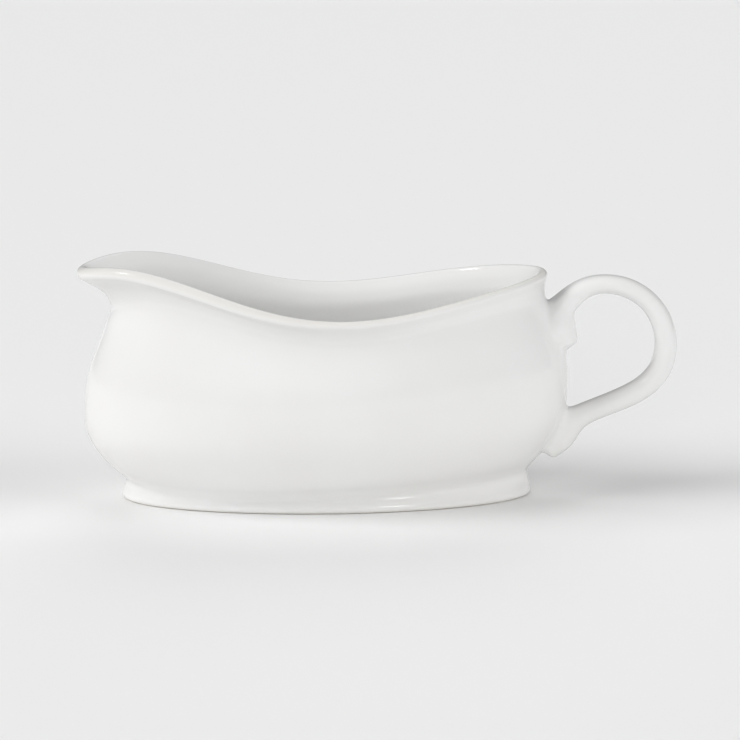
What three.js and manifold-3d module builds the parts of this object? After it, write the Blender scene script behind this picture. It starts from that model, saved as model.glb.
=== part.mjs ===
// A gravy boat of glazed white porcelain, in millimetres, +Z up.
// The spout points along -X and the handle is at +X. The origin is on the table, under the
// middle of the object's length.
// Three pieces are made apart and stuck together with slip before firing: the bowl with its
// pulled spout, the oval foot ring under it, and the looped handle on its back.

import * as THREE from 'three';
import { mergeVertices } from 'three/addons/utils/BufferGeometryUtils.js';
import Module from 'manifold-3d';

// ---- driving dimensions -------------------------------------------------------------------

const GAP = 0.3;              // clearance between two pieces that touch
const WALL = 3.9;             // wall thickness of the bowl below its neck
const UNDERSIDE = 6.6;        // height of the middle of the bowl's underside
const FLOOR_TOP = 10.4;       // height of the bowl's inner floor

// A ring of the bowl's outer surface, seen from above: its foremost and rearmost X, its half
// width, and how far the widest point is shifted back, with two factors that draw the sides in
// towards the ends. Heights run at equal steps of plan angle from the back round to the spout.
const FOOT = { front: -96.3, back: 58.4, half: 31.2, heights: [1.8, 1.8] };
const FOOT_TOP = { front: -95.5, back: 57.7, half: 30.5, heights: [5, 4.6, 3.5, 3.4, 4.5] };
const WAIST = { front: -95.1, back: 57, half: 30, heights: [8.8, 7.6, 5, 4.8, 7.2] };
const BELLY = { front: -110, back: 72, half: 46, shift: 4, lean: 0.02, pinch: 0.04, heights: [45, 38, 34] };
const NECK = { front: -99.6, back: 62.9, half: 40.6, shift: 13, lean: 0.08, pinch: 0.165 };
const CREST = { front: -109.1, back: 62.3, half: 41.8, shift: 15.5, lean: 0.08, pinch: 0.177 };

const CREST_HEIGHTS = [86.2, 84.9, 80.5, 74.5, 81, 90.8, 88.4];
const NECK_DEPTHS = [9.8, 7.5, 14.2];    // how far the neck lies below the crest of the rim
const EDGE_RADII = [1.7, 1.7, 2.5];      // radius of the rounded rim
const RIM_TILTS = [22, 22, 52];          // lean of the rim from upright, in degrees

// Shape of the wall between two rings, as pairs: part of the way out, part of the way up.
const LOWER_WALL = [[0.05, 0.05], [0.31, 0.175], [0.67, 0.4], [0.93, 0.66]];
const UPPER_WALL = [[0.08, 0.26], [0.29, 0.465], [0.64, 0.7], [0.92, 0.9]];
const FLARE = [[0.09, 0.24], [0.27, 0.51], [0.63, 0.77]];

// Corner between the inner wall and the floor, as pairs: part of the waist's size, rise.
const FLOOR_CORNER = [[0.99, 2.7], [0.93, 1], [0.84, 0.25], [0.7, 0]];

// Handle, from the curl under its upper root, over the loop and down to the lower tail:
// centre X and Z, half thickness and half width.
const HANDLE_LINE = [
  [70.4, 59.8, 5.2, 10.4],
  [69.7, 65.6, 5, 11.4],
  [70.1, 70.4, 4.4, 9.8],
  [73.4, 75, 4, 7.4],
  [79, 78.8, 3.6, 5.9],
  [86.8, 80, 3.45, 5.6],
  [95.5, 77.9, 3.65, 5.6],
  [102.4, 73.2, 3.8, 5.6],
  [107.2, 66.2, 4, 5.6],
  [109.25, 57, 4.1, 5.6],
  [107.5, 48, 4.1, 5.6],
  [102.4, 41.4, 4.1, 5.6],
  [94.4, 36.6, 4, 5.6],
  [84.5, 32.6, 3.85, 5.6],
  [78.5, 29.9, 3.95, 5.6],
  [73.9, 26.1, 4.3, 5.8],
  [70.1, 21, 4.6, 6],
  [66.2, 17.8, 4.4, 5.5],
];
const HANDLE_SQUARENESS = 2.4;           // 2 is an oval section, more is nearer a rectangle
const END_ROUNDING = 0.7;                // length of the rounded ends as part of the half thickness

// The roots of the handle wrap round the bowl: they bend forwards by WRAP times the square of the
// distance from the middle plane, from WRAP_END forwards, fully from WRAP_FADE before that.
const WRAP = 0.025;
const WRAP_END = 82;
const WRAP_FADE = 8;

const FOOT_WALL = 6.4;                   // width of the foot ring from its widest line inwards

// Rounded lower edges of the foot ring, as pairs: distance inwards, height above the table.
const FOOT_OUTER_EDGE = [[1.3, 0], [0.35, 0.5], [0, 1.8]];
const FOOT_INNER_EDGE = [[FOOT_WALL, 0.8], [FOOT_WALL - 0.8, 0]];
const FOOT_TAPER = 0.4;                  // how much narrower the foot ring is at its top

// Mesh fineness.
const COLUMNS = 72;
const OUTER_ROWS = 24;
const BELLY_ROW = 9;                     // row near the widest line, where the wall starts to thin
const LOWEST_INNER_ROW = 5;              // row where the inner surface leaves the wall for the floor
const RIM_ROWS = 6;
const INNER_ROWS = 20;
const HANDLE_STEPS = 52;
const HANDLE_SIDES = 20;
const HANDLE_END_STEPS = 4;
const FACET_SAG = 0.05;                  // how far a flat facet may lie inside the curved surface

const WHITE_GLAZE = { color: 0xf1f1ef, roughness: 0.12, metalness: 0 };

// ---- helpers ------------------------------------------------------------------------------

// Smooth even function of the plan angle that takes the given values at equal steps from 0 to pi.
function around(values, angle) {
  const last = values.length - 1;
  let total = 0;
  for (let k = 0; k <= last; k++) {
    let coefficient = 0;
    for (let j = 0; j <= last; j++) {
      const share = j === 0 || j === last ? 0.5 : 1;
      coefficient += share * values[j] * Math.cos((Math.PI * j * k) / last);
    }
    const ends = k === 0 || k === last ? 0.5 : 1;
    total += ((2 * ends) / last) * coefficient * Math.cos(k * angle);
  }
  return total;
}

// Point of a ring at a plan angle, 0 at the back and pi at the spout.
function ringPoint(ring, angle, height) {
  const c = Math.cos(angle);
  const s = Math.sin(angle);
  const x = (ring.front + ring.back) / 2 + ((ring.back - ring.front) / 2) * c + (ring.shift ?? 0) * s * s;
  const y = ring.half * s * (1 - (ring.lean ?? 0) * c - (ring.pinch ?? 0) * c * c);
  return new THREE.Vector3(x, y, height ?? around(ring.heights, angle));
}

// Horizontal unit vector that points out of a ring.
function ringNormal(ring, angle) {
  const step = 1e-3;
  const along = ringPoint(ring, angle + step, 0).sub(ringPoint(ring, angle - step, 0));
  return new THREE.Vector3(along.y, -along.x, 0).normalize();
}

function between(low, high, out, up) {
  const point = low.clone().lerp(high, out);
  point.z = THREE.MathUtils.lerp(low.z, high.z, up);
  return point;
}

function curveThrough(points, count) {
  const curve = new THREE.CatmullRomCurve3(points, false, 'centripetal');
  const samples = [];
  for (let i = 0; i <= count; i++) samples.push(curve.getPoint(i / count));
  return samples;
}

// Closed body from rings of equal length, closed at each end by a single point.
function closedLoft(startPoint, rings, endPoint) {
  const size = rings[0].length;
  const positions = [startPoint, ...rings.flat(), endPoint].flatMap((p) => [p.x, p.y, p.z]);
  const end = 1 + rings.length * size;
  const indices = [];
  for (let j = 0; j < size; j++) {
    const next = (j + 1) % size;
    indices.push(0, 1 + next, 1 + j);
    for (let i = 0; i + 1 < rings.length; i++) {
      const low = 1 + i * size;
      const high = low + size;
      indices.push(low + j, low + next, high + next, low + j, high + next, high + j);
    }
    indices.push(end - size + j, end - size + next, end);
  }
  const geometry = new THREE.BufferGeometry();
  geometry.setAttribute('position', new THREE.Float32BufferAttribute(positions, 3));
  geometry.setIndex(indices);
  return geometry;
}

// Closed ring-shaped body from rings of equal length, the last one joined to the first.
function loopedLoft(rings) {
  const size = rings[0].length;
  const positions = rings.flat().flatMap((p) => [p.x, p.y, p.z]);
  const indices = [];
  for (let i = 0; i < rings.length; i++) {
    const low = i * size;
    const high = ((i + 1) % rings.length) * size;
    for (let j = 0; j < size; j++) {
      const next = (j + 1) % size;
      indices.push(low + j, low + next, high + next, low + j, high + next, high + j);
    }
  }
  const geometry = new THREE.BufferGeometry();
  geometry.setAttribute('position', new THREE.Float32BufferAttribute(positions, 3));
  geometry.setIndex(indices);
  return geometry;
}

const wasm = await Module();
wasm.setup();

function toSolid(geometry) {
  const bare = geometry.clone();
  bare.deleteAttribute('normal');
  bare.deleteAttribute('uv');
  const merged = mergeVertices(bare);
  return new wasm.Manifold(new wasm.Mesh({
    numProp: 3,
    vertProperties: new Float32Array(merged.attributes.position.array),
    triVerts: new Uint32Array(merged.index.array),
  }));
}

function toGeometry(solid) {
  const mesh = solid.getMesh();
  const geometry = new THREE.BufferGeometry();
  geometry.setAttribute('position', new THREE.Float32BufferAttribute(mesh.vertProperties, 3));
  geometry.setIndex(Array.from(mesh.triVerts));
  return geometry;
}

// ---- outer surface of the bowl and foot ---------------------------------------------------

// Middle of the bowl's underside.
const underside = new THREE.Vector3((FOOT.front + FOOT.back) / 2, 0, UNDERSIDE);

// Plan angles of the columns of points, all the way round.
const angles = Array.from({ length: COLUMNS }, (_, j) => (2 * Math.PI * j) / COLUMNS);

// Point where the outer face passes into the rounded rim.
function lipPoint(angle) {
  const radius = around(EDGE_RADII, angle);
  const tilt = THREE.MathUtils.degToRad(around(RIM_TILTS, angle));
  return ringPoint(CREST, angle, around(CREST_HEIGHTS, angle) - radius * (1 + Math.sin(tilt)))
    .addScaledVector(ringNormal(CREST, angle), radius * Math.cos(tilt));
}

// Outer line of the wall at a plan angle, from the waist above the foot ring up to the rim.
function outerLine(angle) {
  const waist = ringPoint(WAIST, angle);
  const belly = ringPoint(BELLY, angle);
  const neck = ringPoint(NECK, angle, around(CREST_HEIGHTS, angle) - around(NECK_DEPTHS, angle));
  const lip = lipPoint(angle);
  return curveThrough([
    waist,
    ...LOWER_WALL.map(([out, up]) => between(waist, belly, out, up)),
    belly,
    ...UPPER_WALL.map(([out, up]) => between(belly, neck, out, up)),
    neck,
    ...FLARE.map(([out, up]) => between(neck, lip, out, up)),
    lip,
  ], OUTER_ROWS);
}

const outerLines = angles.map(outerLine);
const outerRings = outerLines[0].map((_, i) => outerLines.map((line) => line[i]));

// Outward unit normal of the outer surface at row i and column j.
function wallNormal(i, j) {
  const up = outerRings[Math.min(i + 1, OUTER_ROWS)][j].clone().sub(outerRings[Math.max(i - 1, 0)][j]);
  const round = outerRings[i][(j + 1) % COLUMNS].clone().sub(outerRings[i][(j + COLUMNS - 1) % COLUMNS]);
  return round.cross(up).normalize();
}

function offsetRing(i, distance) {
  return outerRings[i].map((point, j) => point.clone().addScaledVector(wallNormal(i, j), distance));
}

// ---- bowl ---------------------------------------------------------------------------------

function bowl() {
  // The rim is a half round that starts where the outer face ends and carries on in its direction.
  const rims = angles.map((angle, j) => {
    const radius = around(EDGE_RADII, angle);
    const across = wallNormal(OUTER_ROWS, j);
    const along = outerRings[OUTER_ROWS][j].clone().sub(outerRings[OUTER_ROWS - 1][j]).normalize();
    const centre = outerRings[OUTER_ROWS][j].clone().addScaledVector(across, -radius);
    return { radius, across, along, centre };
  });
  const rimRings = [];
  for (let i = 1; i < RIM_ROWS; i++) {
    const turn = (Math.PI * i) / RIM_ROWS;
    rimRings.push(rims.map((rim) => rim.centre.clone()
      .addScaledVector(rim.across, rim.radius * Math.cos(turn))
      .addScaledVector(rim.along, rim.radius * Math.sin(turn))));
  }

  // The inner line follows the outer one at the wall's thickness, then rounds into the floor.
  const innerLines = angles.map((angle, j) => {
    const rim = rims[j];
    const points = [rim.centre.clone().addScaledVector(rim.across, -rim.radius)];
    for (let i = OUTER_ROWS - 1; i >= LOWEST_INNER_ROW; i -= 2) {
      const thinning = Math.max(0, (i - BELLY_ROW) / (OUTER_ROWS - BELLY_ROW));
      const thickness = THREE.MathUtils.lerp(WALL, 2 * rim.radius, thinning);
      points.push(outerRings[i][j].clone().addScaledVector(wallNormal(i, j), -thickness));
    }
    for (const [scale, rise] of FLOOR_CORNER) {
      points.push(underside.clone().lerp(ringPoint(WAIST, angle), scale).setZ(FLOOR_TOP + rise));
    }
    return curveThrough(points, INNER_ROWS);
  });
  const innerRings = innerLines[0].map((_, i) => innerLines.map((line) => line[i]));

  return closedLoft(
    underside,
    [...outerRings, ...rimRings, ...innerRings],
    underside.clone().setZ(FLOOR_TOP),
  );
}

// ---- foot ring ----------------------------------------------------------------------------

function footRing() {
  const inset = (distance, height) => angles.map((angle) => (
    ringPoint(FOOT, angle, height).addScaledVector(ringNormal(FOOT, angle), -distance)));
  // The top of the ring lies just under the bowl, whose waist rises towards the back.
  const top = (distance) => angles.map((angle) => (
    ringPoint(WAIST, angle, around(WAIST.heights, angle) - GAP)
      .addScaledVector(ringNormal(WAIST, angle), -distance)));
  return loopedLoft([
    ...FOOT_OUTER_EDGE.map(([distance, height]) => inset(distance, height)),
    angles.map((angle) => ringPoint(FOOT_TOP, angle)),
    top(0),
    top(FOOT_WALL - FOOT_TAPER),
    ...FOOT_INNER_EDGE.map(([distance, height]) => inset(distance, height)),
  ]);
}

// ---- handle -------------------------------------------------------------------------------

function handle() {
  const line = new THREE.CatmullRomCurve3(
    HANDLE_LINE.map(([x, z]) => new THREE.Vector3(x, 0, z)), false, 'catmullrom');
  const sizes = new THREE.CatmullRomCurve3(
    HANDLE_LINE.map(([, , thickness, width]) => new THREE.Vector3(thickness, width, 0)), false, 'catmullrom');

  // Section of the handle at a point of its line, shrunk by scale and moved along by advance.
  const section = (at, scale, advance) => {
    const centre = line.getPoint(at);
    const direction = line.getTangent(at);
    const { x: thickness, y: width } = sizes.getPoint(at);
    centre.addScaledVector(direction, advance * thickness);
    const across = new THREE.Vector3(direction.z, 0, -direction.x);
    const power = 2 / HANDLE_SQUARENESS;
    return Array.from({ length: HANDLE_SIDES }, (_, j) => {
      const turn = (2 * Math.PI * j) / HANDLE_SIDES;
      const c = Math.sign(Math.cos(turn)) * Math.abs(Math.cos(turn)) ** power;
      const s = Math.sign(Math.sin(turn)) * Math.abs(Math.sin(turn)) ** power;
      const point = centre.clone().addScaledVector(across, c * thickness * scale);
      point.y = s * width * scale;
      point.x -= WRAP * point.y ** 2 * THREE.MathUtils.smoothstep(WRAP_END - point.x, 0, WRAP_FADE);
      return point;
    });
  };

  const rings = [];
  for (let i = 1; i < HANDLE_END_STEPS; i++) {
    const turn = (Math.PI / 2) * (1 - i / HANDLE_END_STEPS);
    rings.push(section(0, Math.cos(turn), -END_ROUNDING * Math.sin(turn)));
  }
  for (let i = 0; i <= HANDLE_STEPS; i++) {
    rings.push(section(i / HANDLE_STEPS, 1, 0));
  }
  for (let i = 1; i < HANDLE_END_STEPS; i++) {
    const turn = (Math.PI / 2) * (i / HANDLE_END_STEPS);
    rings.push(section(1, Math.cos(turn), END_ROUNDING * Math.sin(turn)));
  }
  const endPoint = (at, side) => {
    const reach = side * END_ROUNDING * sizes.getPoint(at).x;
    return line.getPoint(at).addScaledVector(line.getTangent(at), reach);
  };
  const loop = toSolid(closedLoft(endPoint(0, -1), rings, endPoint(1, 1)));

  // The bowl, grown by the clearance, is cut away from the roots of the handle. The cutter is
  // closed by a cone that goes down to a point on the bowl's axis, level with the lowest rim.
  const grown = outerRings.map((_, i) => offsetRing(i, GAP + FACET_SAG));
  const inside = underside.clone().setZ(CREST_HEIGHTS[3]);
  const cutter = toSolid(closedLoft(underside, grown, inside));
  return toGeometry(loop.subtract(cutter));
}

// ---- assembly -----------------------------------------------------------------------------

const group = new THREE.Group();

function addPiece(name, geometry) {
  const mesh = new THREE.Mesh(geometry, new THREE.MeshStandardMaterial(WHITE_GLAZE));
  mesh.name = name;
  group.add(mesh);
}

addPiece('bowl', bowl());
addPiece('foot_ring', footRing());
addPiece('handle', handle());

// The origin goes under the middle of the whole length.
const extent = new THREE.Box3().setFromObject(group);
const middleX = (extent.min.x + extent.max.x) / 2;
for (const mesh of group.children) mesh.geometry.translate(-middleX, 0, 0);

export default group;
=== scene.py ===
"""A gravy boat of glazed white porcelain on a pale studio floor.

Shapes are worked out in millimetres, with the spout along -X, the handle at +X and +Z up, and
go into Blender in metres. The table top is at Z = 0.
"""

import bpy
import numpy as np
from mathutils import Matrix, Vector
from mathutils.bvhtree import BVHTree


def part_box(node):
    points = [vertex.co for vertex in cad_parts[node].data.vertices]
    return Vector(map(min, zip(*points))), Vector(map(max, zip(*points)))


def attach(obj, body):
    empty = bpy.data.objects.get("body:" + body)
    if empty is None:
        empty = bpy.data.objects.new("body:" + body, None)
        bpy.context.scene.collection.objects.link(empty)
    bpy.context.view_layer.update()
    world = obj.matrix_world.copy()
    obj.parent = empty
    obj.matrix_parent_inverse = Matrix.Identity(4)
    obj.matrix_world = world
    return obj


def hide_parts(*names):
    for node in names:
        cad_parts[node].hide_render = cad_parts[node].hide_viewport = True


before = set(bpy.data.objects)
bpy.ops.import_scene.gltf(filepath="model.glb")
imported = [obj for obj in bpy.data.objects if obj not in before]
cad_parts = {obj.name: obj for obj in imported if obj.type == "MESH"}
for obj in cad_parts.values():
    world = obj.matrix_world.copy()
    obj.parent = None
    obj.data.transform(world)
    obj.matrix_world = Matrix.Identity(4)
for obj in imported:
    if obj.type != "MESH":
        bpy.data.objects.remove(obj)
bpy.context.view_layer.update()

MM = 0.001                   # one millimetre in metres

# ---- sizes of the boat, in millimetres ------------------------------------------------------

# A ring of the outer surface, seen from above: foremost and rearmost X, half width, how far the
# widest point is shifted back, and two factors that draw the sides in towards the ends.
# Heights run at equal steps of plan angle from the back round to the spout.
FOOT = dict(front=-96.3, back=58.4, half=31.2, heights=(1.8, 1.8))
FOOT_TOP = dict(front=-95.5, back=57.7, half=30.5, heights=(5, 4.6, 3.5, 3.4, 4.5))
WAIST = dict(front=-95.1, back=57, half=30, heights=(8.8, 7.6, 5, 4.8, 7.2))
BELLY = dict(front=-110, back=72, half=46, shift=4, lean=0.02, pinch=0.04, heights=(45, 38, 34))
NECK = dict(front=-99.6, back=62.9, half=40.6, shift=13, lean=0.08, pinch=0.165)
CREST = dict(front=-109.1, back=62.3, half=41.8, shift=15.5, lean=0.08, pinch=0.177)

CREST_HEIGHTS = (86.2, 84.9, 80.5, 74.5, 81, 90.8, 88.4)
NECK_DEPTHS = (9.8, 7.5, 14.2)    # how far the neck lies below the crest of the rim
EDGE_RADII = (1.7, 1.7, 2.5)      # radius of the rounded rim
RIM_TILTS = (22, 22, 52)          # lean of the rim from upright, in degrees

# Wall between two rings, as pairs: part of the way out, part of the way up.
LOWER_WALL = ((0.05, 0.05), (0.31, 0.175), (0.67, 0.4), (0.93, 0.66))
UPPER_WALL = ((0.08, 0.26), (0.29, 0.465), (0.64, 0.7), (0.92, 0.9))
FLARE = ((0.09, 0.24), (0.27, 0.51), (0.63, 0.77))

WALL = 3.9                   # wall thickness of the bowl below its neck
UNDERSIDE = 6.6              # height of the middle of the bowl's underside
FLOOR_TOP = 10.4             # height of the bowl's inner floor

# Corner between the inner wall and the floor, as pairs: part of the waist's size, rise.
FLOOR_CORNER = ((0.99, 2.7), (0.93, 1), (0.84, 0.25), (0.7, 0))

EDGE_ROUNDING = 1.3          # outer lower edge of the foot ring
EDGE_MIDDLE = (0.35, 0.5)    # point on that rounding: distance inwards, height
INNER_ROUNDING = 0.9         # inner lower edge of the foot ring
FOOT_WALL = 6.4              # width of the foot ring
FOOT_SEAM = 0.02             # how far the foot's outer face stops short of the bowl
COVE = 2.4                   # radius of the slip in the corner inside the foot ring
COVE_SINK = 0.08             # how far that slip reaches into the bowl's underside

# Handle from the curl under its upper root, over the loop and down to the lower tail:
# centre X and Z, half thickness and half width.
HANDLE_LINE = (
    (70.4, 59.8, 5.2, 10.4),
    (69.7, 65.6, 5, 11.4),
    (70.1, 70.4, 4.4, 9.8),
    (73.4, 75, 4, 7.4),
    (79, 78.8, 3.6, 5.9),
    (86.8, 80, 3.45, 5.6),
    (95.5, 77.9, 3.65, 5.6),
    (102.4, 73.2, 3.8, 5.6),
    (107.2, 66.2, 4, 5.6),
    (109.25, 57, 4.1, 5.6),
    (107.5, 48, 4.1, 5.6),
    (102.4, 41.4, 4.1, 5.6),
    (94.4, 36.6, 4, 5.6),
    (84.5, 32.6, 3.85, 5.6),
    (78.5, 29.9, 3.95, 5.6),
    (73.9, 26.1, 4.3, 5.8),
    (70.1, 21, 4.6, 6),
    (66.2, 17.8, 4.4, 5.5),
)
HANDLE_SQUARENESS = 2.4      # 2 is an oval section, more is nearer a rectangle
END_ROUNDING = 0.7           # length of the rounded ends as part of the half thickness
WRAP = 0.025                 # how strongly the roots bend round the bowl
WRAP_END = 82                # X from which forwards they begin to bend
WRAP_FADE = 8                # length over which the bend comes in
FILLET_HEIGHTS = (22, 32, 42, 60, 74)
FILLETS = (4.5, 10, 11, 4.5, 10)    # reach of the slip between handle and bowl at those heights
SINK = 0.004                 # how far the fillet's thin edge lies under the bowl's surface
ROOT_DEPTH = 1.2             # how far the roots reach into the bowl's wall

BARE_HEIGHT = 0.35           # height up to which the foot ring is left unglazed
THIN_HEIGHT = 1.6            # height up to which the glaze thins towards the bare face
THIN_GLAZE = "thin_glaze"    # vertex attribute, 1 where the glaze has drawn away from an edge
GLAZE_COOL = (0.835, 0.835, 0.83)
GLAZE_WARM = (0.82, 0.815, 0.8)
GLAZE_THIN = (0.78, 0.765, 0.735)
BARE_DARK = (0.66, 0.61, 0.54)
BARE_LIGHT = (0.78, 0.74, 0.67)

# Stations are the rings that the outer face is drawn through, counted from the table up.
WAIST_STATION = 4            # crease between foot and bowl
BELLY_STATION = 9            # widest line, above which the wall thins
LIP_STATION = 18             # start of the rounded rim

# Mesh fineness: points round the boat, then rows of points.
COLUMNS = 256
WALL_ROWS = 113
RIM_ROWS = 12
OFFSET_ROWS = 16             # rows to a station of the outer face that the inner wall is set off from
INNER_ROWS = 8               # rows to a step of the inner face
FOOT_ROWS = 41
COVE_ROWS = 9
EDGE_ROWS = 6
CREASE = 50                  # edges sharper than this many degrees stay crisp

# Grid that the handle is meshed on.
HANDLE_CELL = 0.55
HANDLE_LOW = (60.0, -18.0, 9.0)
HANDLE_HIGH = (115.0, 18.0, 86.0)
SMOOTHING_ROUNDS = 4

# ---- studio, in metres and degrees ----------------------------------------------------------

FLOOR_REACH = 6
FLOOR_COLOUR = (0.88, 0.88, 0.88)
CAMERA_AZIMUTH = -3
CAMERA_ELEVATION = 12
CAMERA_DISTANCE = 1.1
CAMERA_SENSOR = 36           # millimetres
CAMERA_LENS = 141.957        # millimetres
CAMERA_SHIFT = (-0.00811, 0.01027)
LOOK_AT = (-0.4, 0, 45)      # in the boat's millimetres
SOFT_SPREAD = 40             # apparent width of a soft lamp
GLINT_SPREAD = 9             # apparent width of a small lamp
ROOM_LIGHT = 0.1             # how brightly the room lights the boat
ROOM_SEEN = 0.8              # how bright it looks behind the floor


# ---- curves and surfaces --------------------------------------------------------------------

def unit(vectors):
    return vectors / np.linalg.norm(vectors, axis=-1, keepdims=True)


def smooth_step(values):
    values = np.clip(values, 0, 1)
    return values * values * (3 - 2 * values)


def around(values, angles):
    """Smooth even function of the plan angle through values at equal steps from 0 to pi."""
    last = len(values) - 1
    steps = np.arange(last + 1)
    share = np.where((steps == 0) | (steps == last), 0.5, 1.0)
    table = np.cos(np.pi * np.outer(steps, steps) / last)
    coefficients = (2 / last) * share * (table @ (share * np.asarray(values, float)))
    return np.cos(np.multiply.outer(angles, steps)) @ coefficients


def ring(shape, angles, height=None):
    """Points of a ring at plan angles, 0 at the back and pi at the spout."""
    c, s = np.cos(angles), np.sin(angles)
    front, back = shape["front"], shape["back"]
    x = (front + back) / 2 + (back - front) / 2 * c + shape.get("shift", 0) * s * s
    y = shape["half"] * s * (1 - shape.get("lean", 0) * c - shape.get("pinch", 0) * c * c)
    z = around(shape["heights"], angles) if height is None else height + 0 * angles
    return np.stack([x, y, z], -1)


def ring_normal(shape, angles):
    """Horizontal unit vectors that point out of a ring."""
    step = 1e-4
    along = ring(shape, angles + step, 0) - ring(shape, angles - step, 0)
    return unit(np.stack([along[:, 1], -along[:, 0], 0 * angles], -1))


def between(low, high, out, up):
    """Ring that lies part of the way out and part of the way up from one ring to another."""
    point = low + out * (high - low)
    point[..., 2] = low[..., 2] + up * (high[..., 2] - low[..., 2])
    return point


def station_gaps(stations):
    """Mean distance from each station to the next."""
    steps = np.linalg.norm(np.diff(stations, axis=0), axis=-1)
    return steps.reshape(len(steps), -1).mean(1)


def smooth_curve(stations, positions, gaps=None):
    """Natural cubic spline through stations, at positions counted in stations from 0."""
    count = len(stations)
    gaps = station_gaps(stations) if gaps is None else gaps
    matrix = np.eye(count)
    right = np.zeros_like(stations)
    for i in range(1, count - 1):
        matrix[i, i - 1:i + 2] = gaps[i - 1], 2 * (gaps[i - 1] + gaps[i]), gaps[i]
        after = (stations[i + 1] - stations[i]) / gaps[i]
        before = (stations[i] - stations[i - 1]) / gaps[i - 1]
        right[i] = 6 * (after - before)
    bends = np.linalg.solve(matrix, right.reshape(count, -1)).reshape(stations.shape)
    i = np.clip(positions.astype(int), 0, count - 2)
    shape = (-1,) + (1,) * (stations.ndim - 1)
    b = (positions - i).reshape(shape)
    a = 1 - b
    straight = a * stations[i] + b * stations[i + 1]
    bent = (a**3 - a) * bends[i] + (b**3 - b) * bends[i + 1]
    return straight + bent * gaps[i].reshape(shape) ** 2 / 6


def lip(angles):
    """Ring where the outer face passes into the rounded rim."""
    radius = around(EDGE_RADII, angles)
    tilt = np.radians(around(RIM_TILTS, angles))
    points = ring(CREST, angles, 0) + (radius * np.cos(tilt))[:, None] * ring_normal(CREST, angles)
    points[:, 2] = around(CREST_HEIGHTS, angles) - radius * (1 + np.sin(tilt))
    return points


def foot_inset(angles, distance, height):
    """Ring of the foot moved inwards by a distance, at a height above the table."""
    return ring(FOOT, angles, height) - distance * ring_normal(FOOT, angles)


def outer_stations(angles):
    """Rings of the outer face: the foot from the table up, then the wall up to the rim."""
    foot = [
        foot_inset(angles, EDGE_ROUNDING, 0),
        foot_inset(angles, *EDGE_MIDDLE),
        ring(FOOT, angles),
        ring(FOOT_TOP, angles),
    ]
    waist = ring(WAIST, angles)
    belly = ring(BELLY, angles)
    neck_height = around(CREST_HEIGHTS, angles) - around(NECK_DEPTHS, angles)
    neck = ring(NECK, angles, neck_height)
    lower = [between(waist, belly, *step) for step in LOWER_WALL]
    upper = [between(belly, neck, *step) for step in UPPER_WALL]
    rim = lip(angles)
    flare = [between(neck, rim, *step) for step in FLARE]
    return np.array([*foot, waist, *lower, belly, *upper, neck, *flare, rim])


ANGLES = np.arange(COLUMNS) * 2 * np.pi / COLUMNS
STATIONS = outer_stations(ANGLES)
GAPS = station_gaps(STATIONS)
SHIFT_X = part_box("foot_ring")[0].x / MM - FOOT["front"]    # puts the origin under the middle
MIDDLE = np.array([(FOOT["front"] + FOOT["back"]) / 2, 0, UNDERSIDE])
FLOOR_MIDDLE = np.array([MIDDLE[0], 0, FLOOR_TOP])


def surface_normals(rings):
    """Outward normals of rings of points that run round the boat, from the bottom up."""
    up = np.gradient(rings, axis=0)
    along = np.roll(rings, -1, axis=1) - np.roll(rings, 1, axis=1)
    return unit(np.cross(along, up))


# ---- meshes ---------------------------------------------------------------------------------

def new_piece(name, points, faces, materials, node, thin=None):
    """Makes a piece from points in millimetres. It rides on the boat and stands for a CAD node."""
    mesh = bpy.data.meshes.new(name)
    moved = (points + np.array([SHIFT_X, 0, 0])) * MM
    mesh.from_pydata(moved.tolist(), [], faces)
    mesh.shade_smooth()
    for material in materials:
        mesh.materials.append(material)
    thinness = mesh.attributes.new(THIN_GLAZE, "FLOAT", "POINT")
    thinness.data.foreach_set("value", np.zeros(len(points)) if thin is None else thin)
    piece = bpy.data.objects.new(name, mesh)
    bpy.context.scene.collection.objects.link(piece)
    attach(piece, "root")
    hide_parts(node)
    return piece


def ring_faces(rows, closed=False):
    """Quads between rows of points that run round the boat, and from the last to the first if closed."""
    faces = []
    for i in range(rows if closed else rows - 1):
        low = i * COLUMNS
        high = (i + 1) % rows * COLUMNS
        for j in range(COLUMNS):
            k = (j + 1) % COLUMNS
            faces.append((low + j, low + k, high + k, high + j))
    return faces


def bowl_rings():
    """Rings of the bowl from the waist, over the rim and down inside to the edge of the floor."""
    outer = smooth_curve(STATIONS, np.linspace(WAIST_STATION, LIP_STATION, WALL_ROWS), GAPS)
    radius = around(EDGE_RADII, ANGLES)[:, None]
    across = surface_normals(outer)[-1]
    along = unit(outer[-1] - outer[-2])
    centre = outer[-1] - radius * across
    rim = []
    for turn in np.linspace(0, np.pi, RIM_ROWS + 1)[1:]:
        rim.append(centre + radius * (np.cos(turn) * across + np.sin(turn) * along))

    # The inner face lies a wall's thickness inside the outer one, then rounds into the floor.
    face = smooth_curve(STATIONS, np.linspace(0, LIP_STATION, OFFSET_ROWS * LIP_STATION + 1), GAPS)
    normals = surface_normals(face)
    inside = [rim[-1]]
    for station in range(LIP_STATION - 1, WAIST_STATION + 2, -1):
        row = station * OFFSET_ROWS
        thinning = max(0, station - BELLY_STATION) / (LIP_STATION - BELLY_STATION)
        thickness = WALL + thinning * (2 * radius - WALL)
        inside.append(face[row] - thickness * normals[row])
    for scale, rise in FLOOR_CORNER:
        corner = MIDDLE + scale * (ring(WAIST, ANGLES) - MIDDLE)
        corner[:, 2] = FLOOR_TOP + rise
        inside.append(corner)
    inside.append(np.tile(FLOOR_MIDDLE, (COLUMNS, 1)))
    inner = smooth_curve(np.array(inside), np.linspace(0, len(inside) - 1, INNER_ROWS * len(inside)))
    return outer, np.array(rim), inner[1:-1]


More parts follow.
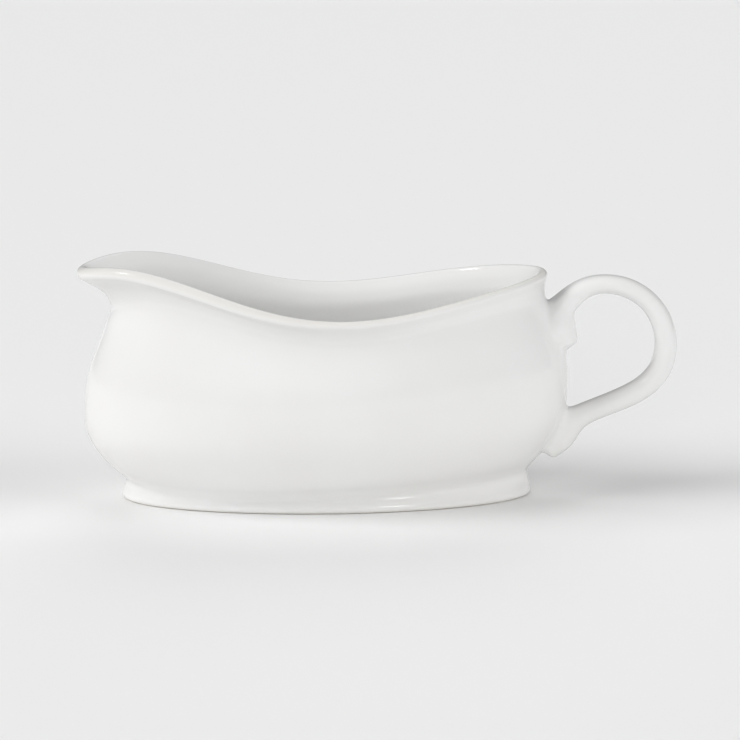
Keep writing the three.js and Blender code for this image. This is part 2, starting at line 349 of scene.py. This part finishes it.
def make_bowl(glaze):
    outer, rim, inner = bowl_rings()
    rings = np.concatenate([outer, rim, inner])
    points = np.concatenate([rings.reshape(-1, 3), [MIDDLE, FLOOR_MIDDLE]])
    # The glaze has thinned along the crest of the rim.
    thin = np.zeros(len(points))
    for i, turn in enumerate(np.linspace(0, np.pi, RIM_ROWS + 1)[1:]):
        start = (len(outer) + i) * COLUMNS
        thin[start:start + COLUMNS] = np.sin(turn) ** 4
    faces = ring_faces(len(rings))
    under = len(points) - 2
    floor = len(points) - 1
    last = (len(rings) - 1) * COLUMNS
    for j in range(COLUMNS):
        k = (j + 1) % COLUMNS
        faces.append((under, k, j))
        faces.append((floor, last + j, last + k))
    bowl = new_piece("glazed_bowl", points, faces, [glaze], "bowl", thin)
    bowl.data.set_sharp_from_angle(angle=np.radians(CREASE))
    return bowl


def underside_height(points):
    """Height of the bowl's underside, a flat cone from the waist to its middle, at a ring of points."""
    along = (points[:, 0] - MIDDLE[0]) / (WAIST["back"] - MIDDLE[0])
    across = points[:, 1] / WAIST["half"]
    edge = around(WAIST["heights"], np.arctan2(across, along))
    return MIDDLE[2] + np.hypot(along, across) * (edge - MIDDLE[2])


def make_foot_ring(glaze, bare):
    outer = smooth_curve(STATIONS, np.linspace(0, WAIST_STATION, FOOT_ROWS), GAPS)
    rings = list(outer)
    rings[-1][:, 2] = around(WAIST["heights"], ANGLES) - FOOT_SEAM
    # Inside, a cove of slip runs from the bowl's underside down to the foot's inner wall.
    ceiling = underside_height(foot_inset(ANGLES, FOOT_WALL + COVE, 0)) + COVE_SINK
    for turn in np.linspace(np.pi / 2, 0, COVE_ROWS):
        inwards = FOOT_WALL + COVE * (1 - np.cos(turn))
        rings.append(foot_inset(ANGLES, inwards, ceiling - COVE * (1 - np.sin(turn))))
    for turn in np.linspace(0, np.pi / 2, EDGE_ROWS):
        inwards = FOOT_WALL - INNER_ROUNDING * (1 - np.cos(turn))
        rings.append(foot_inset(ANGLES, inwards, INNER_ROUNDING * (1 - np.sin(turn))))
    points = np.concatenate(rings)
    thin = smooth_step((THIN_HEIGHT - points[:, 2]) / THIN_HEIGHT)
    faces = ring_faces(len(rings), closed=True)
    foot = new_piece("glazed_foot_ring", points, faces, [glaze, bare], "foot_ring", thin)
    foot.data.set_sharp_from_angle(angle=np.radians(CREASE))
    for face in foot.data.polygons:
        if face.center.z < BARE_HEIGHT * MM:
            face.material_index = 1
    return foot


# ---- handle: a field that is negative inside, meshed where it is zero -----------------------

def net_of_zero(values, low, step):
    """Quads round the cells where values on a regular grid go from negative to positive."""
    sums = np.zeros((values.size, 3))
    hits = np.zeros(values.size)
    quads = []
    for axis in range(3):
        ahead = np.eye(3, dtype=int)[axis]
        side = np.eye(3, dtype=int)[(axis + 1) % 3]
        other = np.eye(3, dtype=int)[(axis + 2) % 3]
        here = np.moveaxis(values, axis, 0)[:-1]
        there = np.moveaxis(values, axis, 0)[1:]
        crossing = np.moveaxis((here < 0) != (there < 0), 0, axis)
        start = np.argwhere(crossing)
        start = start[(start @ side > 0) & (start @ other > 0)]
        at_start = values[tuple(start.T)]
        at_end = values[tuple((start + ahead).T)]
        points = start + np.outer(at_start / (at_start - at_end), ahead)
        corners = [start, start - side, start - side - other, start - other]
        cells = np.stack([np.ravel_multi_index(tuple(c.T), values.shape) for c in corners], 1)
        for k in range(4):
            np.add.at(sums, cells[:, k], points)
            np.add.at(hits, cells[:, k], 1)
        quads.append(np.where(at_start[:, None] < 0, cells, cells[:, ::-1]))
    used, faces = np.unique(np.concatenate(quads), return_inverse=True)
    return low + step * sums[used] / hits[used, None], faces.reshape(-1, 4)


class HandleField:
    """Distance fields of the handle and of the bowl's back, before the roots are bent round it."""

    SAMPLES = 420            # points along the line of the handle
    STEP = 0.5               # spacing of the table of the bowl's back
    REACH = 17               # half width of that table
    LOWEST = 9.5             # heights between which it runs
    HIGHEST = 82.5
    SPREAD = 0.8             # plan angle of the surface it is read from, each side of the back
    SURFACE_COLUMNS = 321
    SURFACE_ROWS = 281
    OUTSIDE = 200            # X well behind the bowl
    TINY = 1e-6              # keeps distances in a section above zero, since some are divided by

    def __init__(self):
        stations = np.array(HANDLE_LINE, float)
        line = smooth_curve(stations, np.linspace(0, len(stations) - 1, self.SAMPLES))
        self.line = line[:, :2]
        self.thickness = line[:, 2]
        self.width = line[:, 3]
        self.along = unit(np.gradient(self.line, axis=0))
        self.across = np.stack([-self.along[:, 1], self.along[:, 0]], -1)
        self.back = self.table_of_back()

    def table_of_back(self):
        """X of the bowl's back over a grid of Y and Z, in the handle's unbent space."""
        columns = self.SURFACE_COLUMNS
        angles = np.linspace(-self.SPREAD, self.SPREAD, columns)
        positions = np.linspace(WAIST_STATION, LIP_STATION, self.SURFACE_ROWS)
        rings = smooth_curve(outer_stations(angles), positions, GAPS)
        faces = []
        for i in range(len(rings) - 1):
            for j in range(columns - 1):
                low = i * columns + j
                faces.append((low, low + 1, low + columns + 1, low + columns))
        tree = BVHTree.FromPolygons(rings.reshape(-1, 3).tolist(), faces)
        ys = np.arange(-self.REACH, self.REACH + self.STEP, self.STEP)
        zs = np.arange(self.LOWEST, self.HIGHEST, self.STEP)
        table = np.zeros((len(ys), len(zs)))
        for i, y in enumerate(ys):
            for j, z in enumerate(zs):
                hit = tree.ray_cast(Vector((self.OUTSIDE, y, z)), Vector((-1, 0, 0)))[0]
                table[i, j] = hit.x + WRAP * y * y
        return table

    def sample(self, table, y, z):
        """Value of a table between its points, or at its edge for a place beyond it."""
        just_over_one = 1.001    # stops a little short of the last point, which has no next one
        last_across, last_up = np.array(table.shape) - just_over_one
        across = np.clip((y + self.REACH) / self.STEP, 0, last_across)
        up = np.clip((z - self.LOWEST) / self.STEP, 0, last_up)
        i, j = across.astype(int), up.astype(int)
        a, b = across - i, up - j
        low = (1 - b) * table[i, j] + b * table[i, j + 1]
        high = (1 - b) * table[i + 1, j] + b * table[i + 1, j + 1]
        return (1 - a) * low + a * high

    def bowl(self, x, y, z):
        """Distance outwards from the bowl's back."""
        slope_y, slope_z = np.gradient(self.back, self.STEP)
        steepness = np.sqrt(1 + self.sample(slope_y, y, z) ** 2 + self.sample(slope_z, y, z) ** 2)
        return (x - self.sample(self.back, y, z)) / steepness

    def handle(self, x, y, z):
        """Distance outwards from the handle itself."""
        offset = np.stack(np.broadcast_arrays(x, z), -1)[..., None, :] - self.line
        nearest = (offset**2).sum(-1).argmin(-1)
        offset = np.take_along_axis(offset, nearest[..., None, None], -2)[..., 0, :]
        along = (offset * self.along[nearest]).sum(-1)
        past = np.where(nearest == 0, -along, np.where(nearest == self.SAMPLES - 1, along, 0))
        thickness = self.thickness[nearest]
        width = self.width[nearest]
        across = np.abs((offset * self.across[nearest]).sum(-1)) / thickness + self.TINY
        side = np.abs(y) / width + self.TINY
        beyond = np.maximum(past, 0) / thickness / END_ROUNDING
        power = HANDLE_SQUARENESS
        level = (across**power + side**power + beyond**power) ** (1 / power)
        slope_across = (across / level) ** (power - 1) / thickness
        slope_side = (side / level) ** (power - 1) / width
        slope_beyond = (beyond / level) ** (power - 1) / thickness / END_ROUNDING
        return (level - 1) / np.sqrt(slope_across**2 + slope_side**2 + slope_beyond**2)

    def __call__(self, x, y, z):
        """Handle and fillet, cut off inside the bowl's wall and where the fillet has run out."""
        handle = self.handle(x, y, z)
        bowl = self.bowl(x, y, z)
        reach = np.interp(z, FILLET_HEIGHTS, FILLETS)
        blend = np.maximum(reach - np.abs(handle - bowl), 0) / reach
        joined = np.minimum(handle, bowl + SINK) - blend**3 * reach / 6
        return np.maximum(np.maximum(joined, -bowl - ROOT_DEPTH), handle - reach)


def pull_to_zero(field, points):
    """Moves points along the field's slope to where the field is nearly zero."""
    nudge = 0.05
    flattest = 0.25          # least square of the slope that is trusted
    value = field(*points.T)
    ahead = [field(*(points + nudge * axis).T) for axis in np.eye(3)]
    slope = (np.stack(ahead, -1) - value[:, None]) / nudge
    return points - (value / (slope**2).sum(-1).clip(flattest))[:, None] * slope


def make_handle(glaze):
    field = HandleField()
    x, y, z = (np.arange(*limits, HANDLE_CELL) for limits in zip(HANDLE_LOW, HANDLE_HIGH))
    values = field(x[:, None, None], y[None, :, None], z[None, None, :])
    points, faces = net_of_zero(values, np.array(HANDLE_LOW), HANDLE_CELL)
    edges = np.concatenate([faces[:, [k, (k + 1) % 4]] for k in range(4)])
    degree = np.bincount(edges[:, 0], minlength=len(points))[:, None]
    # Each round evens out the net and then puts its points back on the surface.
    for _ in range(SMOOTHING_ROUNDS):
        total = np.zeros_like(points)
        np.add.at(total, edges[:, 0], points[edges[:, 1]])
        points = (points + total / degree) / 2
        points = pull_to_zero(field, points)
        points = pull_to_zero(field, points)
    fade = smooth_step((WRAP_END - points[:, 0]) / WRAP_FADE)
    points[:, 0] -= WRAP * points[:, 1] ** 2 * fade
    return new_piece("glazed_handle", points, faces.tolist(), [glaze], "handle")


# ---- materials ------------------------------------------------------------------------------

def node_material(name):
    material = bpy.data.materials.new(name)
    material.use_nodes = True
    nodes = material.node_tree.nodes
    return material, nodes, material.node_tree.links, nodes["Principled BSDF"]


def noise(nodes, links, scale, detail):
    """Noise that sits still on the object, in features per metre."""
    place = nodes.new("ShaderNodeTexCoord")
    texture = nodes.new("ShaderNodeTexNoise")
    texture.inputs["Scale"].default_value = scale
    texture.inputs["Detail"].default_value = detail
    links.new(place.outputs["Object"], texture.inputs["Vector"])
    return texture.outputs["Fac"]


def between_colours(nodes, links, factor, first, second, start=0, end=1):
    """Colour ramp from one colour to another."""
    ramp = nodes.new("ShaderNodeValToRGB")
    ramp.color_ramp.elements[0].position = start
    ramp.color_ramp.elements[0].color = (*first, 1)
    ramp.color_ramp.elements[1].position = end
    ramp.color_ramp.elements[1].color = (*second, 1)
    links.new(factor, ramp.inputs["Fac"])
    return ramp.outputs["Color"]


def between_numbers(nodes, links, factor, low, high):
    """Number that follows a factor between two limits. Noise lies mostly from 0.3 to 0.7."""
    reach = nodes.new("ShaderNodeMapRange")
    reach.inputs["From Min"].default_value = 0.3
    reach.inputs["From Max"].default_value = 0.7
    reach.inputs["To Min"].default_value = low
    reach.inputs["To Max"].default_value = high
    links.new(factor, reach.inputs["Value"])
    return reach.outputs["Result"]


def bump(nodes, links, height, strength, distance, below=None):
    """Normal for a height, over the normal of a coarser bump below it."""
    node = nodes.new("ShaderNodeBump")
    node.inputs["Strength"].default_value = strength
    node.inputs["Distance"].default_value = distance
    links.new(height, node.inputs["Height"])
    if below:
        links.new(below, node.inputs["Normal"])
    return node.outputs["Normal"]


def white_glaze():
    """Clear gloss over white porcelain: its tone varies a little, it waves a little and thins on edges.
    """
    material, nodes, links, shader = node_material("white_glaze")
    clouds = noise(nodes, links, scale=22, detail=3)
    full = between_colours(nodes, links, clouds, GLAZE_COOL, GLAZE_WARM, start=0.35, end=0.65)
    thin = nodes.new("ShaderNodeAttribute")
    thin.attribute_name = THIN_GLAZE
    edge = nodes.new("ShaderNodeMix")
    edge.data_type = "RGBA"
    edge.inputs["B"].default_value = (*GLAZE_THIN, 1)
    links.new(thin.outputs["Fac"], edge.inputs["Factor"])
    links.new(full, edge.inputs["A"])
    links.new(edge.outputs["Result"], shader.inputs["Base Color"])
    gloss = noise(nodes, links, scale=45, detail=2)
    links.new(between_numbers(nodes, links, gloss, low=0.06, high=0.13), shader.inputs["Roughness"])
    ripple = noise(nodes, links, scale=30, detail=1)
    waves = bump(nodes, links, ripple, strength=0.25, distance=0.0003)
    orange_peel = noise(nodes, links, scale=900, detail=2)
    skin = bump(nodes, links, orange_peel, strength=0.04, distance=0.00005, below=waves)
    links.new(skin, shader.inputs["Normal"])
    shader.inputs["IOR"].default_value = 1.5
    return material


def bare_porcelain():
    """Unglazed fired clay of the foot's contact face: matt, warmer and finely grained."""
    material, nodes, links, shader = node_material("bare_porcelain")
    grain = noise(nodes, links, scale=1400, detail=4)
    colour = between_colours(nodes, links, grain, BARE_DARK, BARE_LIGHT, start=0.3, end=0.7)
    links.new(colour, shader.inputs["Base Color"])
    links.new(between_numbers(nodes, links, grain, low=0.75, high=0.92), shader.inputs["Roughness"])
    links.new(bump(nodes, links, grain, strength=0.4, distance=0.0001), shader.inputs["Normal"])
    return material


GLAZE = white_glaze()
BARE = bare_porcelain()
make_bowl(GLAZE)
FOOT_RING = make_foot_ring(GLAZE, BARE)
make_handle(GLAZE)


# ---- studio ---------------------------------------------------------------------------------

def direction(azimuth, elevation):
    """Unit vector towards a place in the studio. Azimuth 0 is in front of the boat, -Y."""
    a, e = np.radians(azimuth), np.radians(elevation)
    return Vector((np.sin(a) * np.cos(e), -np.cos(a) * np.cos(e), np.sin(e)))


def make_floor():
    far = FLOOR_REACH
    mesh = bpy.data.meshes.new("floor")
    mesh.from_pydata([(-far, -far, 0), (far, -far, 0), (far, far, 0), (-far, far, 0)], [], [(0, 1, 2, 3)])
    material, _, _, shader = node_material("studio_paper")
    shader.inputs["Base Color"].default_value = (*FLOOR_COLOUR, 1)
    shader.inputs["Roughness"].default_value = 0.9
    shader.inputs["Specular IOR Level"].default_value = 0.1
    mesh.materials.append(material)
    floor = bpy.data.objects.new("floor", mesh)
    bpy.context.scene.collection.objects.link(floor)


def make_camera():
    data = bpy.data.cameras.new("camera")
    data.sensor_width = CAMERA_SENSOR
    data.lens = CAMERA_LENS
    data.shift_x, data.shift_y = CAMERA_SHIFT
    data.clip_start = 0.05
    data.clip_end = 30
    camera = bpy.data.objects.new("camera", data)
    target = (Vector(LOOK_AT) + Vector((SHIFT_X, 0, 0))) * MM
    towards = direction(CAMERA_AZIMUTH, CAMERA_ELEVATION)
    camera.location = target + CAMERA_DISTANCE * towards
    camera.rotation_euler = towards.to_track_quat("Z", "Y").to_euler()
    bpy.context.scene.collection.objects.link(camera)
    bpy.context.scene.camera = camera


def distant_light(name, azimuth, elevation, energy, spread):
    data = bpy.data.lights.new(name, "SUN")
    data.energy = energy
    data.angle = np.radians(spread)
    light = bpy.data.objects.new(name, data)
    light.rotation_euler = direction(azimuth, elevation).to_track_quat("Z", "Y").to_euler()
    bpy.context.scene.collection.objects.link(light)
    return light


def soft_light(name, azimuth, elevation, energy):
    """Wide soft lamp that lights the scene but is not mirrored in the glaze."""
    distant_light(name, azimuth, elevation, energy, SOFT_SPREAD).visible_glossy = False


def highlight(name, azimuth, elevation, energy, pieces=()):
    """Small lamp that only shows as a glint in the glaze, of some pieces or of all."""
    light = distant_light(name, azimuth, elevation, energy, GLINT_SPREAD)
    light.visible_diffuse = False
    if pieces:
        lit = bpy.data.collections.new(name)
        for piece in pieces:
            lit.objects.link(piece)
        light.light_linking.receiver_collection = lit


def make_lights():
    scene = bpy.context.scene
    world = bpy.data.worlds.new("studio")
    world.use_nodes = True
    nodes, links = world.node_tree.nodes, world.node_tree.links
    background = nodes["Background"]
    background.inputs["Color"].default_value = (1, 1, 1, 1)
    # Past the edge of the floor the room looks as pale as the floor, but it lights the boat little.
    seen = nodes.new("ShaderNodeLightPath").outputs["Is Camera Ray"]
    strength = between_numbers(nodes, links, seen, low=ROOM_LIGHT, high=ROOM_SEEN)
    links.new(strength, background.inputs["Strength"])
    scene.world = world
    soft_light("left", -80, 38, 1.88)
    soft_light("front", -12, 14, 1.13)
    soft_light("right", 70, 25, 1.15)
    soft_light("back", 175, 40, 0.83)
    soft_light("top", 0, 85, 0.2)
    highlight("left_glint", -80, 45, 0.4)
    highlight("front_glint", 18, 12, 0.2, [FOOT_RING])
    scene.view_settings.view_transform = "Standard"


make_floor()
make_camera()
make_lights()
